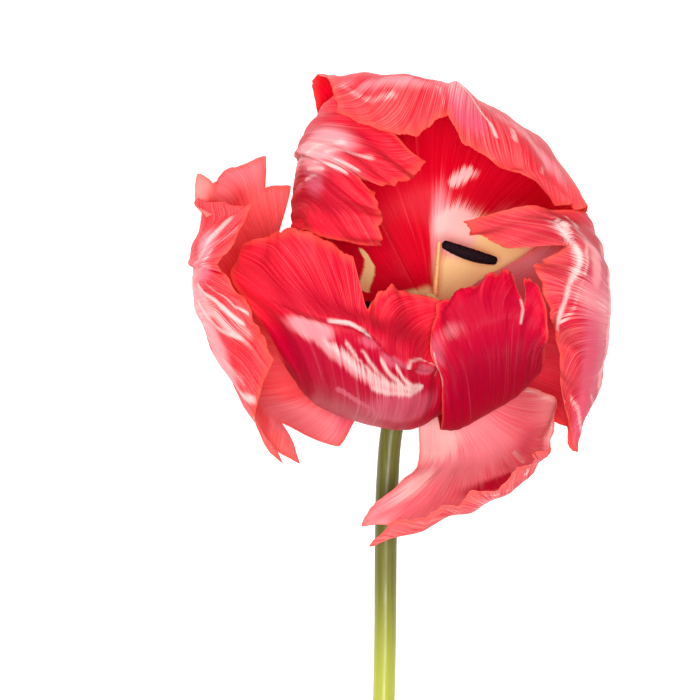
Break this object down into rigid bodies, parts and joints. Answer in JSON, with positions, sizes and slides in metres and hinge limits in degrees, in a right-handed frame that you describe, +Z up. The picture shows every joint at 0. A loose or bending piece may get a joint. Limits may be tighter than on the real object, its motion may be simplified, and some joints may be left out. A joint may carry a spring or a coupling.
{
  "type": "cut parrot tulip",
  "caption": "Cut parrot tulip laid on a surface: an open, fringed coral-red bloom facing up on the end of a bare lying stem.",
  "frame": {"origin": "on the surface the tulip lies on, under the middle of its bounding box", "axes": "+Z up out of the surface, +Y along the lying stem from its cut end towards the bloom, +X to the right of the bloom seen from above"},
  "size_m": [0.101, 0.2588, 0.0658],
  "materials": {
    "stem_skin": "smooth fresh green stem, satin",
    "pistil_skin": "smooth pale green ovary with a cream stigma",
    "filament_skin": "smooth yellow-cream thread",
    "pollen": "dry powdery near-black pollen sac",
    "petal_back_skin": "thin satin petal, veined from the claw to a fringed edge",
    "petal_upper_left_skin": "thin satin petal, veined from the claw to a fringed edge",
    "petal_right_skin": "thin satin petal, veined from the claw to a fringed edge",
    "petal_left_skin": "thin satin petal, veined from the claw to a fringed edge",
    "petal_front_left_skin": "thin satin petal, veined from the claw to a fringed edge",
    "petal_front_right_skin": "thin satin petal, veined from the claw to a fringed edge",
    "petal_fallen_skin": "thin satin petal, veined from the claw to a fringed edge"
  },
  "bodies": {
    "root": {"stem": "stem_skin", "pistil": "pistil_skin", "filament_1": "filament_skin", "anther_1": "pollen", "filament_2": "filament_skin", "anther_2": "pollen", "filament_3": "filament_skin", "anther_3": "pollen", "filament_4": "filament_skin", "anther_4": "pollen", "filament_5": "filament_skin", "anther_5": "pollen", "filament_6": "filament_skin", "anther_6": "pollen", "petal_back": "petal_back_skin", "petal_upper_left": "petal_upper_left_skin", "petal_right": "petal_right_skin", "petal_left": "petal_left_skin", "petal_front_left": "petal_front_left_skin", "petal_front_right": "petal_front_right_skin", "petal_fallen": "petal_fallen_skin"}
  },
  "joints": []
}
